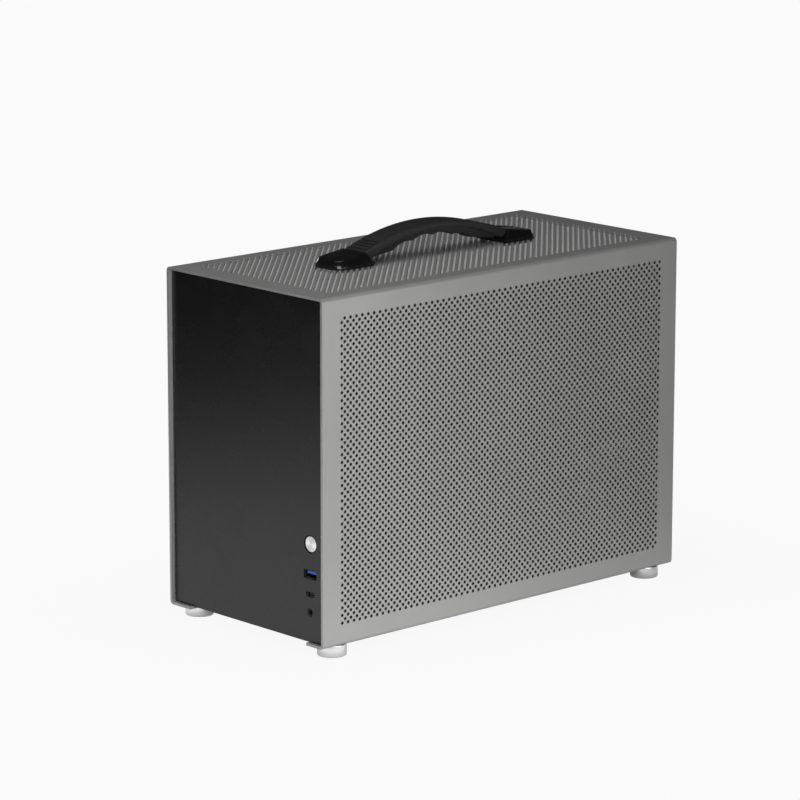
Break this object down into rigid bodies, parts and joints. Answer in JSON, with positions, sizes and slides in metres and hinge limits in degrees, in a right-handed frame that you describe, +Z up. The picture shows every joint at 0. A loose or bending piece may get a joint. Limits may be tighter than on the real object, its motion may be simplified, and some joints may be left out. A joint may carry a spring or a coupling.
{
  "type": "mini pc case",
  "caption": "Small tower computer case: perforated sheet sleeve with slotted top, arched carrying handle, turned feet, and a black front panel on an inner frame that draws out.",
  "frame": {"origin": "on the floor, below the middle of the sleeve", "axes": "+X to the right as seen from the front, +Y from the front panel to the rear, +Z up"},
  "size_m": [0.164, 0.346, 0.277],
  "materials": {
    "sleeve_metal": "bead blasted and clear anodised",
    "foot_metal": "turned, polished",
    "foot_rubber": "matte",
    "screw_steel": "zinc plated",
    "grip_black": "satin",
    "cap_black": "gloss",
    "panel_black": "satin black",
    "frame_steel": "zinc plated sheet",
    "cover_steel": "bare sheet",
    "post_brass": "turned",
    "holder_plastic": "moulded",
    "board_green": "solder mask",
    "port_steel": "nickel plated",
    "tongue_blue": "moulded",
    "tongue_black": "moulded",
    "jack_black": "moulded",
    "inlet_black": "moulded",
    "pin_brass": "nickel plated",
    "button_metal": "turned in rings"
  },
  "bodies": {
    "sleeve": {"sleeve": "sleeve_metal", "foot_front_left": "foot_metal", "foot_front_right": "foot_metal", "foot_rear_left": "foot_metal", "foot_rear_right": "foot_metal", "foot_pad_front_left": "foot_rubber", "foot_pad_front_right": "foot_rubber", "foot_pad_rear_left": "foot_rubber", "foot_pad_rear_right": "foot_rubber", "foot_screws": "screw_steel", "handle_grip": "grip_black", "handle_cap_front": "cap_black", "handle_cap_rear": "cap_black", "handle_screws": "screw_steel", "lock_bracket_left_low": "frame_steel", "lock_bracket_left_high": "frame_steel", "lock_bracket_right_low": "frame_steel", "lock_bracket_right_high": "frame_steel", "lock_screws": "screw_steel"},
    "frame": {"front_panel": "panel_black", "base_plate": "panel_black", "rear_panel": "frame_steel", "pan_screws": "screw_steel", "slot_cover_low": "cover_steel", "slot_cover_middle": "cover_steel", "slot_cover_high": "cover_steel", "slot_cover_screws": "screw_steel", "board_tray": "panel_black", "tray_screws": "screw_steel", "board_standoffs": "post_brass", "psu_bracket": "frame_steel", "psu_bracket_screws": "screw_steel", "mains_inlet": "inlet_black", "inlet_pins": "pin_brass", "inlet_screws": "screw_steel", "port_holder": "holder_plastic", "holder_screws": "screw_steel", "io_board": "board_green", "io_board_screws": "screw_steel", "usb_a_shell": "port_steel", "usb_a_tongue": "tongue_blue", "usb_c_shell": "port_steel", "usb_c_tongue": "tongue_black", "audio_jack": "jack_black"},
    "button": {"power_button": "button_metal", "button_clip": "screw_steel"}
  },
  "joints": [
    {"name": "frame_draws_out", "type": "slide", "parent": "sleeve", "child": "frame", "axis": [0, -1, 0], "range_m": [0, 0.3]},
    {"name": "button_press", "type": "slide", "parent": "frame", "child": "button", "axis": [0, 1, 0], "range_m": [0, 0.001], "stiffness_N_per_m": 800, "springref_m": -0.0005}
  ]
}
